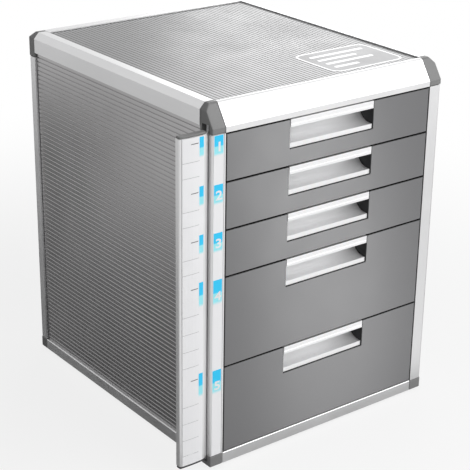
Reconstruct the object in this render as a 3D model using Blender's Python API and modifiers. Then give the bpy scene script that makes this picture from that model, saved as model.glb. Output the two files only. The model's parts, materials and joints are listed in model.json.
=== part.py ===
"""Desktop file drawer: an aluminium-framed cabinet with five drawers and a hinged index flap.

Lengths are in metres. The cabinet's own frame has x = 0 on its centre line, y = 0 on its front
plane with +Y towards the back, and z = 0 on the desk. One empty carries that frame, so that the
origin of the scene is the middle of the whole footprint, the open flap included.
"""

import math

import bmesh
import bpy
from mathutils import Matrix, Vector

# Whole cabinet
WIDTH = 0.300
DEPTH = 0.345
FOOT_STAND = 0.0025
BASE_RAIL_H = 0.0125
TOP_RAIL_H = 0.0275
SHALLOW_PITCH = 0.050
DEEP_PITCH = 0.100
SHALLOW_COUNT = 3
DEEP_COUNT = 2

# Fits shared by every piece
GAP = 0.0003
OVERRUN = 0.002
SOFT_EDGE = 0.0006

# Frame extrusions
POST_W = 0.0158
FRONT_POST_D = 0.0205
BACK_POST_D = 0.0115
POST_CORNER_R = 0.0025
POST_CORNER_STEPS = 6
CAP_W = 0.0158
RAIL_WALL = 0.0016
FRONT_LIP_H = 0.0058
FRONT_CHAMFER_RUN = 0.0115
FRONT_SHOULDER_DROP = 0.0045
FRONT_SHOULDER_RUN = 0.0040
FRONT_SHOULDER_BEND = 0.3
FRONT_RAIL_IN = 0.0178
SIDE_RAIL_IN = 0.0155
BACK_RAIL_IN = 0.0162
SIDE_CHAMFER_RUN = 0.0060
SIDE_CHAMFER_DROP = 0.0065
SIDE_RAIL_RISE = 0.0052
SIDE_RAIL_RETURN = 0.0060
SEAT_W = 0.0050
BASE_TOP_FLANGE = 0.0145
BASE_LOW_FLANGE = 0.0210
CAP_EDGE_R = 0.0009
CAP_EDGE_STEPS = 2

# Panels
RIB_PITCH = 0.0050
RIB_H = 0.0005
RIB_GROOVE_SHARE = 0.13
PANEL_T = 0.0015
TOP_PANEL_SINK = 0.0015
PANEL_BACK_GAP = 0.0012
SIDE_PANEL_INSET = 0.0025
BACK_PANEL_INSET = 0.0030
BACK_PANEL_T = 0.0015
BASE_PANEL_T = 0.0015

# Feet
FOOT_R = 0.0100
FOOT_INSET = 0.0340
FOOT_EDGE_R = 0.0010
FOOT_EDGE_STEPS = 2
FOOT_DIMPLE_R = 0.0040
FOOT_DIMPLE_D = 0.0008

# Inner side frames that carry the drawers
LINER_X_IN = 0.0120
LINER_T = 0.0020
LINER_TOP_RISE = 0.0140
LEDGE_REACH = 0.0080
LEDGE_T = 0.0025
LEDGE_SETBACK = 0.0045
STOP_LENGTH = 0.0060
STOP_H = 0.0040
STOP_REACH = 0.0060
STOP_CLEARANCE = 0.0012

# Drawers
DRAWER_TRAVEL = 0.240
TRAVEL_MARGIN = 0.0006
FRONT_GAP = 0.0006
FASCIA_T = 0.0030
FASCIA_WALL = 0.0020
FASCIA_DEPTH = 0.0240
FASCIA_EDGE_R = 0.0005
TRAY_WALL = 0.0020
TRAY_LIFT = 0.0030
TRAY_HEADROOM = 0.0060
TRAY_BACK_CLEARANCE = 0.0030
TRAY_CORNER_R = 0.0080
RUNNER_REACH = 0.0062
RUNNER_SIDE_CLEARANCE = 0.0033
RUNNER_T = 0.0025
RUNNER_LEVEL_SHARE = 0.50
STOP_TAB_H = 0.0042
STOP_TAB_L = 0.0040

# Handle, an extrusion with a round scoop under a flange
HANDLE_W = 0.1092
HANDLE_H = 0.0300
HANDLE_WALL = 0.0015
HANDLE_FLANGE_H = 0.0080
HANDLE_SCOOP_R = 0.0170
HANDLE_SCOOP_Y = 0.0050
HANDLE_LIP_H = 0.0050
HANDLE_TOP_SET = 0.0002
HANDLE_LINE_W = 0.0007
HANDLE_LINE_D = 0.0004
HANDLE_LINE_SHARE = 0.62

# Index flap, measured from its hinge axis: u runs away from the cabinet, v towards the front
HINGE_X_IN = 0.0030
HINGE_Y = 0.0110
PIN_R = 0.0016
BARREL_BORE_R = 0.0020
BARREL_R = 0.0036
GROOVE_R = 0.0058
PIN_NOTCH_H = 0.0085
PIN_HOLE_R = 0.0019
PIN_HOLE_D = 0.0028
PIN_IN_BARREL = 0.0120
PIN_NOTCH_D = 0.0085
PIN_END_GAP = 0.0004
FLAP_W = 0.0400
FLAP_WALL = 0.0014
FLAP_FRONT_V = 0.0096
FLAP_CROWN = 0.0006
FLAP_NECK_U = 0.0100
NECK_BEND_U = 0.72
NECK_BEND_V = 0.86
FLAP_CORNER_R = 0.0020
FLAP_CORNER_STEPS = 3
FLAP_EDGE_V = 0.0030
FLAP_LOW_RISE = 0.0009
FLAP_TOP_RISE = 0.0028
FLAP_CAP_T = 0.0022
FLAP_CAP_SET = 0.0007
FLAP_CAP_INNER = 0.9
BARREL_END_GAP = 0.0006
CARD_T = 0.0004
CARD_INNER_U = 0.0125
CARD_OUTER_MARGIN = 0.0026

# Label strip in the front left post
STRIP_W = 0.0122
STRIP_T = 0.0007
STRIP_X_IN = 0.0017
STRIP_SET = 0.0002

# Roundness of the drawn arcs
ARC_STEPS = 6
SCOOP_STEPS = 9
ROUND_SIDES = 16
FLAT_ANGLE = math.radians(0.4)
SHARP_ANGLE = math.radians(35)

# Worked out from the sizes above
HALF_W = WIDTH / 2
PITCHES = [SHALLOW_PITCH] * SHALLOW_COUNT + [DEEP_PITCH] * DEEP_COUNT
FRAME_Z = FOOT_STAND
OPENING_LOW = FRAME_Z + BASE_RAIL_H
OPENING_TOP = OPENING_LOW + sum(PITCHES)
TOP_Z = OPENING_TOP + TOP_RAIL_H
PANEL_FULL_T = PANEL_T + RIB_H
TOP_PANEL_UNDER = TOP_Z - TOP_PANEL_SINK - PANEL_FULL_T
OPENING_HALF_W = HALF_W - POST_W
LINER_WALL_IN = HALF_W - LINER_X_IN - LINER_T
TRAY_HALF_W = LINER_WALL_IN - RUNNER_SIDE_CLEARANCE - RUNNER_REACH
SIDE_RAIL_LOW = OPENING_TOP + SIDE_RAIL_RISE
HINGE_X = -HALF_W + HINGE_X_IN
FLAP_REACH = FLAP_W - HINGE_X_IN
CABINET_X = FLAP_REACH / 2
CABINET_Y = -DEPTH / 2


def clear_scene():
    """Remove every object that the scene holds."""
    for obj in list(bpy.data.objects):
        bpy.data.objects.remove(obj, do_unlink=True)


def new_collection(name):
    """Make a collection under the scene's own."""
    collection = bpy.data.collections.new(name)
    bpy.context.scene.collection.children.link(collection)
    return collection


def new_material(name, colour, roughness, metallic=0.0):
    """Make a Principled material with one colour."""
    material = bpy.data.materials.new(name)
    material.use_nodes = True
    shader = material.node_tree.nodes["Principled BSDF"]
    shader.inputs["Base Color"].default_value = (*colour, 1.0)
    shader.inputs["Roughness"].default_value = roughness
    shader.inputs["Metallic"].default_value = metallic
    material.diffuse_color = (*colour, 1.0)
    return material


def new_empty(name, location, parent=None):
    """Make an empty that carries a frame or a moving body."""
    empty = bpy.data.objects.new(name, None)
    empty.location = location
    empty.parent = parent
    PARTS.objects.link(empty)
    return empty


def add_piece(name, mesh, material, parent, matrix=None):
    """Put a mesh into the scene as one named piece."""
    mesh.name = name
    mesh.materials.clear()
    mesh.materials.append(material)
    piece = bpy.data.objects.new(name, mesh)
    piece.parent = parent
    piece.matrix_basis = matrix or Matrix()
    PARTS.objects.link(piece)
    return piece


def add_tool(name, mesh, parent, matrix=None):
    """Put a mesh into the scene as a hidden shape that cuts or joins."""
    tool = bpy.data.objects.new(name, mesh)
    tool.parent = parent
    tool.matrix_basis = matrix or Matrix()
    tool.hide_render = True
    tool.display_type = "WIRE"
    CUTTERS.objects.link(tool)
    return tool


def boxes_mesh(name, boxes, upright_radius=0.0):
    """Build one mesh from boxes given by their low and high corners.

    The first box can have its upright edges rounded.
    """
    mesh = bpy.data.meshes.new(name)
    whole = bmesh.new()
    for number, (low, high) in enumerate(boxes):
        low, high = Vector(low), Vector(high)
        made = bmesh.ops.create_cube(whole, size=1.0)
        size = high - low
        bmesh.ops.scale(whole, vec=size, verts=made["verts"])
        bmesh.ops.translate(whole, vec=(low + high) / 2, verts=made["verts"])
        if number == 0 and upright_radius > 0:
            edges = {edge for vert in made["verts"] for edge in vert.link_edges}
            upright = [edge for edge in edges if abs((edge.verts[0].co - edge.verts[1].co).z) > 0]
            bmesh.ops.bevel(whole, geom=upright, offset=upright_radius, segments=ARC_STEPS // 2,
                            profile=0.5, affect="EDGES")
    whole.to_mesh(mesh)
    whole.free()
    return mesh


def extruded_mesh(name, outline, length):
    """Extrude a closed outline, centred on its own plane, with welded caps of one face each."""
    curve = bpy.data.curves.new(name, "CURVE")
    curve.dimensions = "2D"
    curve.fill_mode = "BOTH"
    curve.extrude = length / 2
    spline = curve.splines.new("POLY")
    spline.points.add(len(outline) - 1)
    for point, (x, y) in zip(spline.points, outline):
        point.co = (x, y, 0.0, 1.0)
    spline.use_cyclic_u = True
    drawn = bpy.data.objects.new(name, curve)
    CUTTERS.objects.link(drawn)
    bpy.context.view_layer.update()
    mesh = bpy.data.meshes.new_from_object(drawn.evaluated_get(bpy.context.evaluated_depsgraph_get()))
    bpy.data.objects.remove(drawn, do_unlink=True)
    weld = bmesh.new()
    weld.from_mesh(mesh)
    bmesh.ops.remove_doubles(weld, verts=weld.verts, dist=GAP / 30)
    bmesh.ops.dissolve_limit(weld, angle_limit=FLAT_ANGLE, verts=weld.verts, edges=weld.edges)
    bmesh.ops.recalc_face_normals(weld, faces=weld.faces)
    weld.to_mesh(mesh)
    weld.free()
    return mesh


def along_x(low, high, y=0.0, z=0.0):
    """Place an outline drawn in (y, z) so that it runs along X from low to high."""
    turn = Matrix(((0, 0, 1, 0), (1, 0, 0, 0), (0, 1, 0, 0), (0, 0, 0, 1)))
    return Matrix.Translation(((low + high) / 2, y, z)) @ turn


def along_y(low, high, x=0.0, z=0.0):
    """Place an outline drawn in (x, z) so that it runs along Y from low to high."""
    turn = Matrix(((1, 0, 0, 0), (0, 0, -1, 0), (0, 1, 0, 0), (0, 0, 0, 1)))
    return Matrix.Translation((x, (low + high) / 2, z)) @ turn


def standing_along_y(side, low, high, x, z):
    """Place an outline on edge so that its top faces the given side and it runs along Y."""
    turn = Matrix(((0, side, 0, 0), (0, 0, side, 0), (1, 0, 0, 0), (0, 0, 0, 1)))
    return Matrix.Translation((x, (low + high) / 2, z)) @ turn


def along_z(low, high, x=0.0, y=0.0):
    """Place an outline drawn in (x, y) so that it stands along Z from low to high."""
    return Matrix.Translation((x, y, (low + high) / 2))


def cylinder_mesh(name, radius, length, sides=ROUND_SIDES):
    """Build an upright cylinder about its own middle."""
    mesh = bpy.data.meshes.new(name)
    made = bmesh.new()
    bmesh.ops.create_cone(made, cap_ends=True, segments=sides, radius1=radius, radius2=radius, depth=length)
    made.to_mesh(mesh)
    made.free()
    return mesh


def combine(piece, tool, operation="DIFFERENCE"):
    """Cut a piece with a tool, or join the tool to it."""
    step = piece.modifiers.new(operation.title(), "BOOLEAN")
    step.operation = operation
    step.solver = "EXACT"
    step.object = tool


def soften(piece, width, segments=1):
    """Round the sharp edges of a piece."""
    step = piece.modifiers.new("Soft edges", "BEVEL")
    step.width = width
    step.segments = segments
    step.limit_method = "ANGLE"
    step.angle_limit = SHARP_ANGLE
    step.use_clamp_overlap = True


def arc(centre, radius, start, end, steps=ARC_STEPS):
    """List the points of an arc between two angles in degrees."""
    points = []
    for step in range(steps + 1):
        angle = math.radians(start + (end - start) * step / steps)
        points.append((centre[0] + radius * math.cos(angle), centre[1] + radius * math.sin(angle)))
    return points


def ribbon(path, wall):
    """Give the closed outline of a wall whose left face follows a path of (x, y) points."""
    inner = []
    for number, point in enumerate(path):
        here = Vector(point)
        before = (here - Vector(path[number - 1])).normalized() if number else None
        after = (Vector(path[number + 1]) - here).normalized() if number + 1 < len(path) else None
        sides = [Vector((way.y, -way.x)) for way in (before, after) if way]
        middle = sum(sides, Vector((0.0, 0.0))).normalized()
        reach = wall / middle.dot(sides[0])
        inner.append(tuple(here + middle * reach))
    return list(path) + inner[::-1]


def mirrored(outline):
    """Turn an outline over its own upright axis."""
    return [(-x, y) for x, y in reversed(outline)]


def drawer_slots():
    """List each drawer's number, lowest height and pitch, from the top drawer down."""
    slots = []
    top = OPENING_TOP
    for number, pitch in enumerate(PITCHES, start=1):
        slots.append((number, top - pitch, pitch))
        top -= pitch
    return slots


def front_rail_path():
    """Give the outer face of the sloped front rail, in (y, z) above the drawer opening."""
    shoulder = (FRONT_CHAMFER_RUN, TOP_RAIL_H - FRONT_SHOULDER_DROP)
    return [
        (0.0, FRONT_LIP_H),
        shoulder,
        (shoulder[0] + FRONT_SHOULDER_RUN / 2, TOP_RAIL_H - FRONT_SHOULDER_DROP * FRONT_SHOULDER_BEND),
        (shoulder[0] + FRONT_SHOULDER_RUN, TOP_RAIL_H),
    ]


def build_top_rails(frame):
    """Make the four rails round the top panel."""
    low, high = -HALF_W + CAP_W + GAP, HALF_W - CAP_W - GAP
    wall_end = TOP_PANEL_UNDER - OPENING_TOP
    front = [(FRONT_RAIL_IN - RAIL_WALL - GAP, 0.0), (0.0, 0.0), *front_rail_path()]
    front += [(FRONT_RAIL_IN, TOP_RAIL_H), (FRONT_RAIL_IN, wall_end)]
    mesh = extruded_mesh("top_rail_front", ribbon(front, RAIL_WALL), high - low)
    soften(add_piece("top_rail_front", mesh, SATIN_ALUMINIUM, frame, along_x(low, high, 0.0, OPENING_TOP)),
           SOFT_EDGE)

    chamfer_z = TOP_RAIL_H - SIDE_CHAMFER_DROP
    back = [(-SIDE_RAIL_RETURN, SIDE_RAIL_RISE), (0.0, SIDE_RAIL_RISE), (0.0, chamfer_z),
            (-SIDE_CHAMFER_RUN, TOP_RAIL_H), (-BACK_RAIL_IN, TOP_RAIL_H), (-BACK_RAIL_IN, wall_end)]
    outline = mirrored(ribbon([(-x, y) for x, y in back], RAIL_WALL))
    mesh = extruded_mesh("top_rail_back", outline, high - low)
    add_piece("top_rail_back", mesh, SATIN_ALUMINIUM, frame, along_x(low, high, DEPTH, OPENING_TOP))

    seat = wall_end - GAP
    side = [(SIDE_RAIL_RETURN, SIDE_RAIL_RISE), (0.0, SIDE_RAIL_RISE), (0.0, chamfer_z),
            (SIDE_CHAMFER_RUN, TOP_RAIL_H), (SIDE_RAIL_IN, TOP_RAIL_H), (SIDE_RAIL_IN, seat),
            (SIDE_RAIL_IN + SEAT_W, seat)]
    outline = ribbon(side, RAIL_WALL)
    start, end = FRONT_POST_D + GAP, DEPTH - BACK_POST_D - GAP
    mesh = extruded_mesh("top_rail_left", outline, end - start)
    add_piece("top_rail_left", mesh, SATIN_ALUMINIUM, frame, along_y(start, end, -HALF_W, OPENING_TOP))
    mesh = extruded_mesh("top_rail_right", mirrored(outline), end - start)
    add_piece("top_rail_right", mesh, SATIN_ALUMINIUM, frame, along_y(start, end, HALF_W, OPENING_TOP))


def side_chamfer_tool(name, side, frame):
    """Make the wedge that bevels the top corner pieces in line with a side rail."""
    slope = SIDE_CHAMFER_DROP / SIDE_CHAMFER_RUN
    top = TOP_RAIL_H + OVERRUN
    wedge = [(-OVERRUN, TOP_RAIL_H - SIDE_CHAMFER_DROP - OVERRUN * slope),
             (SIDE_CHAMFER_RUN + OVERRUN / slope, top), (-OVERRUN, top)]
    outline = wedge if side < 0 else mirrored(wedge)
    mesh = extruded_mesh(name, outline, DEPTH + 2 * OVERRUN)
    return add_tool(name, mesh, frame, along_y(-OVERRUN, DEPTH + OVERRUN, side * HALF_W, OPENING_TOP))


def pin_notch_tools(frame):
    """Make the notches and holes that the hinge pins need in the two left front corners."""
    tools = []
    for name, seat, way in (("lower", OPENING_LOW, -1), ("upper", OPENING_TOP, 1)):
        end = seat + way * PIN_NOTCH_H
        low, high = sorted((seat - way * OVERRUN, end))
        box = boxes_mesh(name + "_pin_notch", [((-HALF_W - OVERRUN, HINGE_Y - GROOVE_R, low),
                                                (-HALF_W + PIN_NOTCH_D, HINGE_Y + GROOVE_R, high))])
        hole = cylinder_mesh(name + "_pin_hole", PIN_HOLE_R, PIN_HOLE_D + OVERRUN)
        middle = end + way * (PIN_HOLE_D - OVERRUN) / 2
        place = Matrix.Translation((HINGE_X, HINGE_Y, middle))
        tools.append((add_tool(name + "_pin_notch", box, frame),
                      add_tool(name + "_pin_hole", hole, frame, place)))
    return tools


def build_corners(frame):
    """Make the eight moulded corner pieces that the rails and posts meet in."""
    wedges = {side: side_chamfer_tool(name, side, frame)
              for name, side in (("left_chamfer", -1), ("right_chamfer", 1))}
    lower_pin, upper_pin = pin_notch_tools(frame)
    chamfer_z = TOP_RAIL_H - SIDE_CHAMFER_DROP
    front = [(0.0, 0.0), *front_rail_path(), (FRONT_POST_D, TOP_RAIL_H), (FRONT_POST_D, 0.0)]
    back = [(DEPTH, 0.0), (DEPTH, chamfer_z), (DEPTH - SIDE_CHAMFER_RUN, TOP_RAIL_H),
            (DEPTH - BACK_POST_D, TOP_RAIL_H), (DEPTH - BACK_POST_D, 0.0)]
    for side, side_name in ((-1, "left"), (1, "right")):
        low, high = sorted((side * HALF_W, side * (HALF_W - CAP_W)))
        for end_name, outline, start, end in (("front", front, 0.0, FRONT_POST_D),
                                              ("back", back, DEPTH - BACK_POST_D, DEPTH)):
            name = f"top_corner_{end_name}_{side_name}"
            mesh = extruded_mesh(name, outline, CAP_W)
            corner = add_piece(name, mesh, CORNER_PLASTIC, frame, along_x(low, high, 0.0, OPENING_TOP))
            if end_name == "back":
                soften(corner, CAP_EDGE_R, CAP_EDGE_STEPS)
            combine(corner, wedges[side])
            if end_name == "front":
                soften(corner, CAP_EDGE_R, CAP_EDGE_STEPS)
            if (side, end_name) == (-1, "front"):
                combine(corner, upper_pin[0])
                combine(corner, upper_pin[1])

            name = f"base_corner_{end_name}_{side_name}"
            mesh = boxes_mesh(name, [((low, start, FRAME_Z), (high, end, OPENING_LOW))])
            corner = add_piece(name, mesh, CORNER_PLASTIC, frame)
            soften(corner, CAP_EDGE_R, CAP_EDGE_STEPS)
            if (side, end_name) == (-1, "front"):
                combine(corner, lower_pin[0])
                combine(corner, lower_pin[1])


def build_base_rails(frame):
    """Make the four channels round the floor of the cabinet."""
    low, high = -HALF_W + CAP_W + GAP, HALF_W - CAP_W - GAP
    start, end = FRONT_POST_D + GAP, DEPTH - BACK_POST_D - GAP
    ends = {"front": (0.0, 1, FRONT_POST_D), "back": (DEPTH, -1, BACK_POST_D)}
    for name, (y, way, reach) in ends.items():
        path = [(reach, 0.0), (0.0, 0.0), (0.0, BASE_RAIL_H), (min(reach, BASE_TOP_FLANGE), BASE_RAIL_H)]
        outline = ribbon(path, RAIL_WALL)
        mesh = extruded_mesh("base_rail_" + name, outline if way > 0 else mirrored(outline), high - low)
        soften(add_piece("base_rail_" + name, mesh, SATIN_ALUMINIUM, frame, along_x(low, high, y, FRAME_Z)),
               SOFT_EDGE)
    path = [(BASE_LOW_FLANGE, 0.0), (0.0, 0.0), (0.0, BASE_RAIL_H), (BASE_TOP_FLANGE, BASE_RAIL_H)]
    outline = ribbon(path, RAIL_WALL)
    for name, side in (("left", -1), ("right", 1)):
        mesh = extruded_mesh("base_rail_" + name, outline if side < 0 else mirrored(outline), end - start)
        soften(add_piece("base_rail_" + name, mesh, SATIN_ALUMINIUM, frame,
                         along_y(start, end, side * HALF_W, FRAME_Z)), SOFT_EDGE)


def post_outline(side, near, far):
    """Give a post's section in (x, y), with its outer edge at the cabinet's corner rounded."""
    outer, inner = side * HALF_W, side * (HALF_W - POST_W)
    round_x = outer - side * POST_CORNER_R
    way = 1 if far > near else -1
    corner = arc((round_x, near + way * POST_CORNER_R), POST_CORNER_R, 0, 90, POST_CORNER_STEPS)
    round_y = near + way * POST_CORNER_R
    turned = [(round_x + side * abs(x - round_x), round_y - way * abs(y - round_y)) for x, y in corner]
    return [(outer, far), *turned, (inner, near), (inner, far)]


def build_posts(frame):
    """Make the four corner posts; the left front one has a hinge groove and a label channel."""
    low, high = OPENING_LOW + GAP, OPENING_TOP - GAP
    for name, side, near, far in (("front_left", -1, 0.0, FRONT_POST_D),
                                  ("front_right", 1, 0.0, FRONT_POST_D),
                                  ("back_left", -1, DEPTH, DEPTH - BACK_POST_D),
                                  ("back_right", 1, DEPTH, DEPTH - BACK_POST_D)):
        mesh = extruded_mesh("post_" + name, post_outline(side, near, far), high - low)
        post = add_piece("post_" + name, mesh, SATIN_ALUMINIUM, frame, along_z(low, high))
        if name == "front_left":
            groove = cylinder_mesh("hinge_groove", GROOVE_R, high - low + 2 * OVERRUN, ROUND_SIDES * 2)
            place = Matrix.Translation((HINGE_X, HINGE_Y, (low + high) / 2))
            combine(post, add_tool("hinge_groove", groove, frame, place))
            left = -HALF_W + STRIP_X_IN - GAP
            channel = boxes_mesh("label_channel", [((left, -OVERRUN, low - OVERRUN),
                                                    (left + STRIP_W + 2 * GAP, STRIP_SET + STRIP_T + GAP,
                                                     high + OVERRUN))])
            combine(post, add_tool("label_channel", channel, frame))


def build_label_strip(frame):
    """Make the strip of drawer labels that slides into the left front post."""
    left = -HALF_W + STRIP_X_IN
    low, high = OPENING_LOW + 2 * GAP, OPENING_TOP - 2 * GAP
    near, far = STRIP_SET, STRIP_SET + STRIP_T
    mesh = boxes_mesh("label_strip", [((left, near, low), (left + STRIP_W, far, high))])
    add_piece("label_strip", mesh, CARD, frame)


def ribbed_outline(width):
    """Give a panel's section: flat underneath, with long ribs of one pitch on top."""
    count = int((width - RIB_PITCH) / RIB_PITCH)
    start = (width - count * RIB_PITCH) / 2
    groove = RIB_PITCH * RIB_GROOVE_SHARE
    top = [(0.0, 0.0), (0.0, PANEL_FULL_T)]
    for number in range(count + 1):
        middle = start + number * RIB_PITCH
        top += [(middle - groove, PANEL_FULL_T), (middle, PANEL_T), (middle + groove, PANEL_FULL_T)]
    return top + [(width, PANEL_FULL_T), (width, 0.0)]


def build_panels(frame):
    """Make the ribbed top and side panels, the plain back panel and the floor panel."""
    left, right = -HALF_W + SIDE_RAIL_IN + GAP, HALF_W - SIDE_RAIL_IN - GAP
    near, far = FRONT_RAIL_IN + GAP, DEPTH - BACK_RAIL_IN - PANEL_BACK_GAP
    mesh = extruded_mesh("top_panel", ribbed_outline(right - left), far - near)
    add_piece("top_panel", mesh, TOP_SHEET, frame, along_y(near, far, left, TOP_PANEL_UNDER))

    near, far = FRONT_POST_D + GAP, DEPTH - BACK_POST_D - PANEL_BACK_GAP
    low, high = OPENING_LOW + GAP, SIDE_RAIL_LOW - GAP
    face = HALF_W - SIDE_PANEL_INSET - PANEL_FULL_T
    for name, side in (("left", -1), ("right", 1)):
        mesh = extruded_mesh("side_panel_" + name, ribbed_outline(high - low), far - near)
        add_piece("side_panel_" + name, mesh, SIDE_SHEET, frame,
                  standing_along_y(side, near, far, side * face, low))

    half = HALF_W - max(POST_W, CAP_W) - GAP
    back = DEPTH - BACK_PANEL_INSET
    mesh = boxes_mesh("back_panel", [((-half, back - BACK_PANEL_T, low), (half, back, high))])
    add_piece("back_panel", mesh, SIDE_SHEET, frame)

    half = HALF_W - CAP_W - GAP
    floor = FRAME_Z + RAIL_WALL + GAP
    mesh = boxes_mesh("floor_panel", [((-half, FRONT_POST_D + GAP, floor),
                                       (half, DEPTH - BACK_POST_D - GAP, floor + BASE_PANEL_T))])
    add_piece("floor_panel", mesh, SIDE_SHEET, frame)


def build_feet(frame):
    """Make the four turned rubber feet under the floor panel."""
    height = FRAME_Z + RAIL_WALL
    edge = arc((FOOT_R - FOOT_EDGE_R, FOOT_EDGE_R), FOOT_EDGE_R, 0, -90, FOOT_EDGE_STEPS)
    profile = [(0.0, height), (FOOT_R, height), *edge, (FOOT_DIMPLE_R, 0.0), (0.0, FOOT_DIMPLE_D)]
    for number, (x, y) in enumerate(((-1, 0), (1, 0), (-1, 1), (1, 1)), start=1):
        mesh = bpy.data.meshes.new("foot")
        mesh.from_pydata([(radius, 0.0, z) for radius, z in profile],
                         [(step, step + 1) for step in range(len(profile) - 1)], [])
        spot = (x * (HALF_W - FOOT_INSET), FOOT_INSET + y * (DEPTH - 2 * FOOT_INSET), 0.0)
        place = Matrix.Translation(spot)
        foot = add_piece(f"foot_{number}", mesh, RUBBER, frame, place)
        turn = foot.modifiers.new("Turned", "SCREW")
        turn.steps = turn.render_steps = ROUND_SIDES
        turn.use_merge_vertices = True
        turn.merge_threshold = GAP / 10


def build_liners(frame):
    """Make the two inner side frames with a ledge and a stop for each drawer."""
    near, far = FRONT_POST_D + GAP, DEPTH - BACK_POST_D - GAP
    wall_in, wall_out = LINER_WALL_IN, HALF_W - LINER_X_IN
    root = wall_in + LINER_T / 2
    stop_far = tray_back() - STOP_TAB_L - DRAWER_TRAVEL - TRAVEL_MARGIN
    for name, side in (("left", -1), ("right", 1)):
        xs = sorted((side * wall_in, side * wall_out))
        mesh = boxes_mesh("runner_frame_" + name, [((xs[0], near, OPENING_LOW + GAP),
                                                    (xs[1], far, OPENING_TOP + LINER_TOP_RISE))])
        liner = add_piece("runner_frame_" + name, mesh, DARK_PLASTIC, frame)
        boxes = []
        for _, low, pitch in drawer_slots():
            top = runner_level(low, pitch)
            stop_low = top + RUNNER_T + STOP_CLEARANCE
            ledge_xs = sorted((side * root, side * (wall_in - LEDGE_REACH)))
            stop_xs = sorted((side * root, side * (wall_in - STOP_REACH)))
            boxes.append(((ledge_xs[0], near + LEDGE_SETBACK, top - GAP - LEDGE_T),
                          (ledge_xs[1], far - LEDGE_SETBACK, top - GAP)))
            boxes.append(((stop_xs[0], stop_far - STOP_LENGTH, stop_low),
                          (stop_xs[1], stop_far, stop_low + STOP_H)))
        tool = add_tool("ledges_" + name, boxes_mesh("ledges_" + name, boxes), frame)
        combine(liner, tool, "UNION")


def runner_level(low, pitch):
    """Give the height of a drawer's runner underside."""
    return low + pitch * RUNNER_LEVEL_SHARE


def tray_back():
    """Give the y of a closed tray's back face."""
    return DEPTH - BACK_POST_D - TRAY_BACK_CLEARANCE


def build_tray(number, low, pitch, body):
    """Make one drawer tray with its side runners and the stop tabs behind them."""
    near, far = FASCIA_DEPTH + GAP, tray_back()
    floor, rim = low + TRAY_LIFT, low + pitch - TRAY_HEADROOM
    name = f"drawer_{number}_tray"
    tray = add_piece(name, boxes_mesh(name, [((-TRAY_HALF_W, near, floor), (TRAY_HALF_W, far, rim))]),
                     DARK_PLASTIC, body)
    runner = runner_level(low, pitch)
    root, reach = TRAY_HALF_W - TRAY_WALL / 2, TRAY_HALF_W + RUNNER_REACH
    tab_near, tab_far = far - STOP_TAB_L, far - GAP
    outline = [(near + GAP, runner), (tab_far, runner), (tab_far, runner + RUNNER_T + STOP_TAB_H),
               (tab_near, runner + RUNNER_T + STOP_TAB_H), (tab_near, runner + RUNNER_T),
               (near + GAP, runner + RUNNER_T)]
    for side in (-1, 1):
        xs = sorted((side * root, side * reach))
        tool_name = f"{name}_runner_{'left' if side < 0 else 'right'}"
        rail = add_tool(tool_name, extruded_mesh(tool_name, outline, reach - root), body, along_x(*xs))
        combine(tray, rail, "UNION")
    inner = TRAY_HALF_W - TRAY_WALL
    hollow = boxes_mesh(name + "_hollow", [((-inner, near + TRAY_WALL, floor + TRAY_WALL),
                                            (inner, far - TRAY_WALL, rim + OVERRUN))], TRAY_CORNER_R)
    combine(tray, add_tool(name + "_hollow", hollow, body))


def build_fascia(number, low, pitch, body):
    """Make one hollow drawer front with the pocket that its handle sits in."""
    bottom = max(low + FRONT_GAP, OPENING_LOW + 2 * FRONT_GAP)
    top = min(low + pitch - FRONT_GAP, OPENING_TOP - 2 * FRONT_GAP)
    half = OPENING_HALF_W - 2 * FRONT_GAP
    pocket = HANDLE_W / 2 + GAP
    pocket_low = top - HANDLE_TOP_SET - HANDLE_H - GAP
    name = f"drawer_{number}_front"
    mesh = boxes_mesh(name, [((-half, 0.0, bottom), (half, FASCIA_DEPTH, top))])
    fascia = add_piece(name, mesh, FRONT_PLASTIC, body)
    inner_low, inner_top = bottom + FASCIA_WALL, top - FASCIA_WALL
    back = FASCIA_DEPTH + OVERRUN
    boxes = [((-half + FASCIA_WALL, FASCIA_T, inner_low), (-pocket - FASCIA_WALL, back, inner_top)),
             ((pocket + FASCIA_WALL, FASCIA_T, inner_low), (half - FASCIA_WALL, back, inner_top)),
             ((-pocket, FASCIA_T, inner_low), (pocket, back, pocket_low + OVERRUN / 2)),
             ((-pocket, -OVERRUN, pocket_low), (pocket, back + OVERRUN, top + OVERRUN))]
    hollow = boxes_mesh(name + "_hollow", boxes[:3])
    pocket_mesh = boxes_mesh(name + "_pocket", boxes[3:])
    combine(fascia, add_tool(name + "_hollow", hollow, body))
    combine(fascia, add_tool(name + "_pocket", pocket_mesh, body))
    soften(fascia, FASCIA_EDGE_R)
    return top - HANDLE_TOP_SET


def with_face_lines(outline, levels):
    """Cut a fine groove into a handle's front face at each level."""
    cut = []
    for here, after in zip(outline, outline[1:] + outline[:1]):
        cut.append(here)
        if max(here[0], after[0]) < GAP:
            low, high = sorted((here[1], after[1]))
            half = HANDLE_LINE_W / 2 if after[1] > here[1] else -HANDLE_LINE_W / 2
            for level in levels:
                if low < level < high:
                    cut += [(0.0, level - half), (HANDLE_LINE_D, level), (0.0, level + half)]
    return cut


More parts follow.
